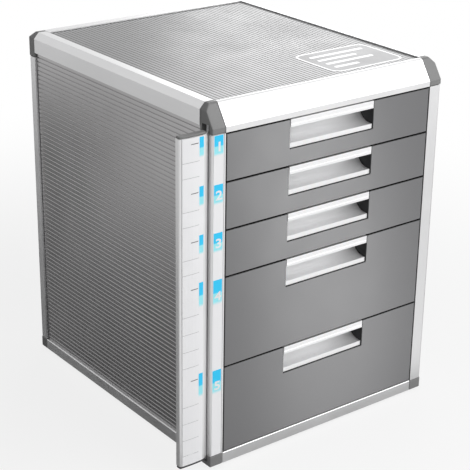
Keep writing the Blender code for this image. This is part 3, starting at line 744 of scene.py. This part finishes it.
def plate_mesh(name: str, outer: Outline, inner: Outline | None, low: float,
               high: float) -> bpy.types.Mesh:
    """Make a level closed plate, or a frame where an inner outline is given.

    Args:
        name: The mesh's name.
        outer: Its outline in (x, y), counter-clockwise.
        inner: The outline of its opening, with as many points, or None.
        low: The height of its underside.
        high: The height of its upper side.

    Returns:
        The plate's mesh.
    """
    mesh = bpy.data.meshes.new(name)
    whole = bmesh.new()
    rings = []
    for outline in (outer, inner):
        if outline:
            rings.append([[whole.verts.new((x, y, z)) for x, y in outline] for z in (low, high)])
    for number in range(len(outer)):
        after = (number + 1) % len(outer)
        for below, above in rings:
            whole.faces.new((below[number], below[after], above[after], above[number]))
        if inner:
            for level in (0, 1):
                edge, hole = rings[0][level], rings[1][level]
                whole.faces.new((edge[number], edge[after], hole[after], hole[number]))
    if not inner:
        below, above = rings[0]
        whole.faces.new(below[::-1])
        whole.faces.new(above)
    bmesh.ops.recalc_face_normals(whole, faces=whole.faces)
    whole.to_mesh(mesh)
    whole.free()
    return mesh


def digit_mesh(text: str, height: float, stretch: float, thickness: float) -> bpy.types.Mesh:
    """Make an upright digit that faces -Y, centred on its own origin.

    Args:
        text: The digit.
        height: Its height.
        stretch: How much wider than its font it is drawn.
        thickness: How far it stands proud.

    Returns:
        The digit's mesh.
    """
    curve = bpy.data.curves.new("digit", "FONT")
    curve.body = text
    curve.size = height / FONT_DIGIT_HEIGHT
    curve.offset = height * DIGIT_WEIGHT
    curve.extrude = thickness / 2
    curve.align_x = "CENTER"
    curve.align_y = "CENTER"
    curve.resolution_u = 4
    drawn = bpy.data.objects.new("digit", curve)
    bpy.context.scene.collection.objects.link(drawn)
    bpy.context.view_layer.update()
    drawn_now = drawn.evaluated_get(bpy.context.evaluated_depsgraph_get())
    mesh = bpy.data.meshes.new_from_object(drawn_now)
    bpy.data.objects.remove(drawn, do_unlink=True)
    bpy.data.curves.remove(curve)
    turn = Euler((math.radians(90), 0.0, 0.0)).to_matrix().to_4x4()
    mesh.transform(Matrix.Diagonal((stretch, 1.0, 1.0, 1.0)) @ turn)
    return mesh


# Sub-assemblies


@dataclass
class CabinetShell(Assembly):
    """The extruded frame with its moulded corners, sheets and feet."""

    label_right: float = 0.0100
    label_front: float = 0.0100
    label_width: float = 0.0980
    label_depth: float = 0.0720
    label_corner: float = 0.0120
    label_border: float = 0.0024
    label_height: float = 0.00015
    bar_width: float = 0.0050
    bar_pitch: float = 0.0135
    bar_inset: float = 0.0100
    bar_shares: tuple[float, ...] = (1.0, 0.72, 0.88, 0.45)
    # Dark strips of painted shade in the gaps beside the drawer fronts and at the top sheet's edges
    seal_thickness: float = 0.0007
    seal_setback: float = 0.0004
    seal_width: float = 0.0010
    seal_height: float = 0.0001

    def build(self) -> None:
        """Dress the frame, the sheets, the corners and the feet."""
        for level in ("top", "base"):
            for end in ("front", "back"):
                self.dress(f"{level}_rail_{end}", self.book.satin_aluminium(Run.ALONG_X))
            for side in ("left", "right"):
                self.dress(f"{level}_rail_{side}", self.book.satin_aluminium(Run.ALONG_Y))
        for side in ("left", "right"):
            self.dress(f"side_panel_{side}", SIDE_SHEET)
            self.dress(f"runner_frame_{side}", DARK_PLASTIC)
            for end in ("front", "back"):
                self.dress(f"post_{end}_{side}", self.book.satin_aluminium(Run.ALONG_Z))
                for level in ("top", "base"):
                    self.dress(f"{level}_corner_{end}_{side}", CORNER_PLASTIC)
        self.dress("top_panel", TOP_SHEET)
        self.dress("back_panel", SIDE_SHEET)
        self.dress("floor_panel", SIDE_SHEET)
        for number in range(1, 5):
            self.dress(f"foot_{number}", RUBBER)
        self._stick_label()
        self._fit_seals()

    def _stick_label(self) -> None:
        """Stick a plain bordered label with bars of different lengths on the top sheet."""
        low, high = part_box("top_panel")
        right, near = high.x - self.label_right, low.y + self.label_front
        middle = Vector((right - self.label_width / 2, near + self.label_depth / 2, high.z))
        inner_width = self.label_width - 2 * self.label_border
        inner_depth = self.label_depth - 2 * self.label_border
        outer = rounded_outline(self.label_width, self.label_depth, self.label_corner)
        inner = rounded_outline(inner_width, inner_depth, self.label_corner - self.label_border)
        mesh = plate_mesh("label_border", outer, inner, 0.0, self.label_height)
        self.add("top_label_border", mesh, LABEL_WHITE, "cabinet", middle)
        mesh = plate_mesh("label_field", inner, None, 0.0, self.label_height)
        self.add("top_label_field", mesh, LABEL_GREY, "cabinet", middle)
        room = inner_width - 2 * self.bar_inset
        start = (len(self.bar_shares) - 1) * self.bar_pitch / 2
        for number, share in enumerate(self.bar_shares, start=1):
            length = room * share
            bar = rounded_outline(length, self.bar_width, self.bar_width / 3)
            mesh = plate_mesh(f"label_bar_{number}", bar, None, 0.0, self.label_height / 2)
            drop = (number - 1) * self.bar_pitch
            shift = Vector(((length - room) / 2, start - drop, self.label_height))
            self.add(f"top_label_bar_{number}", mesh, LABEL_WHITE, "cabinet", middle + shift)

    def _fit_seals(self) -> None:
        """Fit dark strips of painted shade in the gaps beside the drawer fronts and at the top
        sheet's back and right edge.
        """
        low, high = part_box("top_panel")
        wide = self.seal_width
        outlines = {"back": rectangle(low.x, high.x, high.y - wide, high.y),
                    "right": rectangle(high.x - wide, high.x, low.y, high.y - wide)}
        for place, outline in outlines.items():
            mesh = plate_mesh(f"seal_{place}", outline, None, high.z, high.z + self.seal_height)
            # A strip of painted shade, in the feet's rubber finish
            self.add(f"top_shadow_strip_{place}", mesh, RUBBER, "cabinet", Vector())
        for side, way in (("left", 1), ("right", -1)):
            low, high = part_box(f"post_front_{side}")
            inner = high.x if way > 0 else low.x
            left, right = sorted((inner, inner + way * self.seal_thickness))
            outline = rectangle(left, right, low.y + self.seal_setback, high.y)
            mesh = plate_mesh(f"seal_{side}", outline, None, low.z, high.z)
            # A strip of painted shade beside the drawer fronts, in the feet's rubber finish
            self.add(f"side_shadow_strip_{side}", mesh, RUBBER, "cabinet", Vector())


@dataclass
class DrawerUnit(Assembly):
    """One drawer: its front with a dark strip of painted gap shadow along its top edge, its finger
    pull and its tray.
    """

    number: int = 1
    edging_height: float = 0.0005
    edging_depth: float = 0.00005

    def build(self) -> None:
        """Dress the drawer's nodes and add its strip of painted gap shadow, except over a pull that
        is as high.
        """
        self.dress(f"drawer_{self.number}_front", FRONT_PLASTIC)
        self.dress(f"drawer_{self.number}_handle", BRIGHT_ALUMINIUM)
        self.dress(f"drawer_{self.number}_tray", DARK_PLASTIC)
        low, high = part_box(f"drawer_{self.number}_front")
        pull_low, pull_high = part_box(f"drawer_{self.number}_handle")
        face = self._face_depth()
        bottom = high.z - self.edging_height
        spans = [(low.x, high.x)]
        if pull_high.z > bottom:
            spans = [(low.x, pull_low.x), (pull_high.x, high.x)]
        outlines = [rectangle(left, right, bottom, high.z) for left, right in spans]
        # A strip of painted gap shadow, in the feet's rubber finish
        mesh = patches_mesh(f"edging_{self.number}", outlines, lambda x: face, self.edging_depth)
        self.add(f"front_edging_{self.number}", mesh, RUBBER, f"drawer_{self.number}", Vector())

    def _face_depth(self) -> float:
        """Return the y of the front's face at its top edge."""
        mesh = self.frame["nodes"][f"drawer_{self.number}_front"].data
        top = max(vertex.co.z for vertex in mesh.vertices)
        return min(vertex.co.y for vertex in mesh.vertices
                   if top - vertex.co.z < self.edging_height)


@dataclass
class TagLayout:
    """Where the tag of each drawer sits, from the top edge of its front."""

    shallow_height: float = 0.0205
    deep_height: float = 0.0270
    drawers: int = 5
    deep_from: float = 0.075

    def tags(self) -> list[tuple[int, float, float]]:
        """List each drawer's number, the top of its front and the height of its tag."""
        found = []
        for number in range(1, self.drawers + 1):
            low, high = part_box(f"drawer_{number}_front")
            height = self.deep_height if high.z - low.z > self.deep_from else self.shallow_height
            found.append((number, high.z, height))
        return found


@dataclass
class LabelStrip(Assembly):
    """The numbered strip that slides into the left front post."""

    layout: TagLayout = field(default_factory=TagLayout)
    tag_width: float = 0.0107
    tag_right: float = 0.0008
    tag_rise: float = 0.0003
    print_height: float = 0.00005
    digit_height: float = 0.0094
    digit_stretch: float = 1.25
    digit_drop: float = 0.0118
    digit_middle: float = 0.4

    def build(self) -> None:
        """Dress the strip and print a numbered tag for each drawer."""
        self.dress("label_strip", CARD)
        low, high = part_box("label_strip")
        right = high.x - self.tag_right
        left = right - self.tag_width
        for number, edge, height in self.layout.tags():
            top = min(edge + self.tag_rise, high.z)
            outline = rectangle(left, right, -height, 0.0)
            mesh = patches_mesh(f"strip_tag_{number}", [outline], lambda x: low.y,
                                self.print_height)
            self.add(f"strip_tag_{number}", mesh, TAG_INK, "cabinet", Vector((0.0, 0.0, top)))
            mesh = digit_mesh(str(number), self.digit_height, self.digit_stretch, self.print_height)
            drop = self.digit_drop + height - self.layout.shallow_height
            place = Vector((right - self.digit_height * self.digit_stretch * self.digit_middle,
                            low.y - 1.5 * self.print_height, top - drop))
            self.add(f"strip_digit_{number}", mesh, WHITE_INK, "cabinet", place)


@dataclass
class IndexFlap(Assembly):
    """The hinged flap with its ruled index card."""

    layout: TagLayout = field(default_factory=TagLayout)
    body: str = "index_flap_body"
    tag_width: float = 0.0052
    tag_rise: float = 0.0029
    tag_inset: float = 0.0001
    print_height: float = 0.00005
    rule_height: float = 0.0004
    rule_inset: float = 0.0002
    dash_height: float = 0.0008
    dash_length: float = 0.0085
    dash_gap: float = 0.0012
    dash_drop: float = 0.0052
    shallow_rules: tuple[float, ...] = (0.0235, 0.0390)
    deep_rules: tuple[float, ...] = (0.034, 0.053, 0.072, 0.090)

    def build(self) -> None:
        """Dress the flap, its caps, its pins and its card, and print the card."""
        self.dress("index_flap", self.book.satin_aluminium(Run.ALONG_Z))
        self.dress("index_card", CARD)
        for end, plastic in (("upper", CORNER_PLASTIC), ("lower", DARK_PLASTIC)):
            self.dress(f"flap_cap_{end}", plastic)
            self.dress(f"hinge_pin_{end}", DARK_STEEL)
        self._print_card()

    def _card_face(self) -> Callable[[float], float]:
        """Return a function that gives the y of the card's face at an x."""
        mesh = self.frame["nodes"]["index_card"].data
        faces = [face for face in mesh.polygons if face.normal.y < CARD_FACE_NORMAL]
        corners = [mesh.vertices[corner].co for face in faces for corner in face.vertices]
        profile = sorted({(round(corner.x, 6), round(corner.y, 6)) for corner in corners})

        def face(x: float) -> float:
            """Return the y of the face at an x."""
            for (x0, y0), (x1, y1) in zip(profile, profile[1:]):
                if x <= x1 and x1 > x0:
                    share = min(max((x - x0) / (x1 - x0), 0.0), 1.0)
                    return y0 + (y1 - y0) * share
            return profile[-1][1]

        return face

    @staticmethod
    def _strip(left: float, right: float, low: float, high: float, steps: int = 6) -> Outline:
        """Give a level strip's outline, with points along it to follow the card's curve."""
        xs = [left + (right - left) * step / steps for step in range(steps + 1)]
        return [(x, low) for x in xs] + [(x, high) for x in reversed(xs)]

    def _print_card(self) -> None:
        """Print the card's tags, dashes and ruled lines."""
        low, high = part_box("index_card")
        face = self._card_face()
        inner = high.x - self.tag_inset
        rules, dashes = [], []
        tag_left = inner - self.tag_width
        dash_right = tag_left - self.dash_gap
        dash_left = dash_right - self.dash_length
        for number, edge, height in self.layout.tags():
            top = min(edge + self.tag_rise, high.z)
            outline = self._strip(tag_left, inner, -height, 0.0, 2)
            mesh = patches_mesh(f"flap_tag_{number}", [outline], face, self.print_height)
            self.add(f"flap_tag_{number}", mesh, TAG_INK, self.body, Vector((0.0, 0.0, top)))
            dash_top = top - self.dash_drop
            dash_low = dash_top - self.dash_height
            dashes.append(self._strip(dash_left, dash_right, dash_low, dash_top, 3))
            drops = self.deep_rules if height > self.layout.shallow_height else self.shallow_rules
            for drop in drops:
                level = top - drop
                if level > low.z + self.rule_height:
                    rule_left = low.x + self.rule_inset
                    rules.append(self._strip(rule_left, tag_left, level, level + self.rule_height))
        for name, outlines, ink in (("card_rules", rules, GREY_INK),
                                    ("card_dashes", dashes, DARK_INK)):
            mesh = patches_mesh(name, outlines, face, self.print_height)
            self.add(name, mesh, ink, self.body, Vector())


# Studio


@dataclass(frozen=True)
class AreaLamp:
    """One soft lamp that looks at the object; its height is its width unless one is given."""

    name: str
    place: Vector
    size: float
    power: float
    height: float | None = None

    def build(self, target: Vector, lit: list[bpy.types.Object]) -> None:
        """Add the lamp.

        Args:
            target: The point it looks at.
            lit: The only pieces that it lights, or none where it lights everything.
        """
        light = bpy.data.lights.new(self.name, "AREA")
        light.shape = "RECTANGLE"
        light.size = self.size
        light.size_y = self.height or self.size
        light.energy = self.power
        lamp = bpy.data.objects.new(self.name, light)
        lamp.visible_camera = False
        lamp.location = self.place
        lamp.rotation_euler = (target - self.place).to_track_quat("-Z", "Y").to_euler()
        bpy.context.scene.collection.objects.link(lamp)
        if lit:
            group = bpy.data.collections.new(f"{self.name}_lit")
            for piece in lit:
                group.objects.link(piece)
            lamp.light_linking.receiver_collection = group


@dataclass
class Studio:
    """The pale floor, the soft light and the camera.

    The floor turns plain white between the two distances of sweep, like the curve of a studio
    backdrop. Nearer to the object a camera sees floor_white of plain white and the rest as lit.
    In metal it also glows plain white in front of the object, from front_sweep on, which is
    painted light, and close to the object elsewhere it is darker by contact_depth of painted
    shade. Behind the object metal sees painted shade on it of shade_depth along shade_way,
    and not beyond shade_reach.
    """

    floor_size: float = 14.0
    floor_colour: Colour = (0.68, 0.68, 0.68)
    floor_roughness: float = 0.9
    floor_white: float = 0.82
    sweep: Span = (0.26, 0.95)
    sweep_middle: Vector = Vector((0.0, 0.15, 0.0))
    front_sweep: Span = (-0.17, -0.24)
    shade_way: Vector = Vector((0.7071, 0.7071, 0.0))
    shade: Span = (-0.02, 0.17)
    shade_reach: Span = (1.45, 1.0)
    shade_depth: float = 0.85
    contact_depth: float = 0.3
    ambient: float = 0.3
    lamp_target: Vector = Vector((0.0, 0.0, 0.2))
    key_lamp: AreaLamp = AreaLamp("key_lamp", Vector((1.0, -1.8, 1.4)), 2.4, 48.0)
    back_lamp: AreaLamp = AreaLamp("back_lamp", Vector((1.5, 1.45, 1.05)), 0.9, 6.3)
    strip_lamp: AreaLamp = AreaLamp("strip_lamp", Vector((0.485, -0.80, 0.13)), 0.20, 2.4, 0.24)
    lens: float = 107.84
    sensor_width: float = 36.0
    camera_place: Vector = Vector((-0.8783, -1.1818, 0.7874))
    camera_turn: tuple[float, float, float] = (67.391, -0.771, -37.201)

    def build(self, frame: dict) -> None:
        """Make the floor, the world, the lamps and the camera.

        The strip lamp lights only the drawer fronts.

        Args:
            frame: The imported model.
        """
        self._build_floor()
        self._build_world()
        fronts = [piece for name, piece in frame["nodes"].items()
                  if name.startswith("drawer") and name.endswith("_front")]
        for lamp, lit in ((self.key_lamp, []), (self.back_lamp, []), (self.strip_lamp, fronts)):
            lamp.build(self.lamp_target, lit)
        self._build_camera()
        bpy.context.scene.view_settings.view_transform = "Standard"

    def _build_floor(self) -> None:
        """Make the floor, which a camera ray sees a little lighter than it is lit."""
        mesh = bpy.data.meshes.new("floor")
        whole = bmesh.new()
        bmesh.ops.create_grid(whole, x_segments=1, y_segments=1, size=self.floor_size / 2)
        whole.to_mesh(mesh)
        whole.free()
        mesh.materials.append(self._floor_material())
        floor = bpy.data.objects.new("floor", mesh)
        bpy.context.scene.collection.objects.link(floor)

    def _floor_material(self) -> bpy.types.Material:
        """Make the pale floor's finish, which fades to plain white away from the object.

        Returns:
            The material.
        """
        sketch = MaterialSketch("floor")
        sketch.put("Base Color", (*self.floor_colour, 1.0))
        sketch.put("Roughness", self.floor_roughness)
        sketch.put("Specular IOR Level", 0.0)
        place = sketch.node("ShaderNodeTexCoord").outputs["Object"]
        distance = sketch.node("ShaderNodeVectorMath", operation="DISTANCE")
        sketch.fill(distance.inputs[1], self.sweep_middle)
        along = sketch.node("ShaderNodeVectorMath", operation="DOT_PRODUCT")
        sketch.fill(along.inputs[1], self.shade_way)
        depth = sketch.node("ShaderNodeSeparateXYZ")
        for measured in (distance, along, depth):
            sketch.fill(measured.inputs[0], place)
        far = sketch.ramp(distance.outputs["Value"], self.sweep)
        white = sketch.math("MAXIMUM", far, sketch.ramp(depth.outputs["Y"], self.front_sweep))
        # Painted shade that metal sees on the floor behind the object
        shade = sketch.ramp(along.outputs["Value"], self.shade, top=self.shade_depth)
        reach = sketch.ramp(distance.outputs["Value"], self.shade_reach)
        painted_back_shade = sketch.math("MULTIPLY", shade, reach)
        # Painted shade that metal sees on the floor close to the object
        painted_contact_shade = sketch.ramp(white, (1.0, 0.0), top=self.contact_depth)
        path = sketch.node("ShaderNodeLightPath")
        mirrored = sketch.in_mirrors(path)
        # A plain white glow of the floor: a backdrop to the camera, and painted light in metal
        seen = sketch.math("MULTIPLY", path.outputs["Is Camera Ray"],
                           sketch.ramp(far, (0.0, 1.0), self.floor_white, smooth=False))
        white_share = sketch.math("MULTIPLY_ADD", mirrored, white, seen)
        painted_shade_share = sketch.math("MULTIPLY", mirrored, sketch.math("MAXIMUM", painted_back_shade, painted_contact_shade))
        lit = self._blend(sketch, sketch.shader.outputs["BSDF"], 1.0, white_share)
        shaded = self._blend(sketch, lit, 0.0, painted_shade_share)
        sketch.fill(sketch.tree.nodes["Material Output"].inputs["Surface"], shaded)
        return sketch.material

    @staticmethod
    def _blend(sketch: MaterialSketch, shader: Socket, strength: float, share: Socket) -> Socket:
        """Blend a shader with plain light.

        Args:
            sketch: The material that it belongs to.
            shader: The shader's socket.
            strength: The light's strength, 1 for white or 0 for black.
            share: The share of the light.

        Returns:
            The blend's socket.
        """
        light = sketch.node("ShaderNodeEmission")
        sketch.fill(light.inputs["Strength"], strength)
        blend = sketch.node("ShaderNodeMixShader")
        for place, value in ((0, share), (1, shader), (2, light.outputs["Emission"])):
            sketch.fill(blend.inputs[place], value)
        return blend.outputs["Shader"]

    def _build_world(self) -> None:
        """Make a world that is white to the camera and in metal, and softer as a light."""
        world = bpy.data.worlds.new("studio")
        world.use_nodes = True
        sketch = NodeSketch(world.node_tree)
        path = sketch.node("ShaderNodeLightPath")
        seen = sketch.math("MAXIMUM", path.outputs["Is Camera Ray"], sketch.in_mirrors(path))
        background = sketch.tree.nodes["Background"]
        sketch.fill(background.inputs["Color"], (1.0, 1.0, 1.0, 1.0))
        level = sketch.ramp(seen, (0.0, 1.0), self.ambient, smooth=False)
        sketch.fill(background.inputs["Strength"], level)
        bpy.context.scene.world = world

    def _build_camera(self) -> None:
        """Make the camera at the photograph's angle."""
        data = bpy.data.cameras.new("camera")
        data.lens = self.lens
        data.sensor_width = self.sensor_width
        data.dof.use_dof = False
        camera = bpy.data.objects.new("camera", data)
        camera.location = self.camera_place
        camera.rotation_euler = Euler([math.radians(angle) for angle in self.camera_turn])
        bpy.context.scene.collection.objects.link(camera)
        bpy.context.scene.camera = camera


def main() -> None:
    """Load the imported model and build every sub-assembly on it."""
    logging.basicConfig(level=logging.INFO, format="%(name)s: %(message)s")
    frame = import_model()
    book = FinishBook(ShaderEffects())
    layout = TagLayout()
    CabinetShell(frame, book).build()
    for number in range(1, layout.drawers + 1):
        DrawerUnit(frame, book, number).build()
    LabelStrip(frame, book, layout).build()
    IndexFlap(frame, book, layout).build()
    Studio().build(frame)


if __name__ == "__main__":
    main()
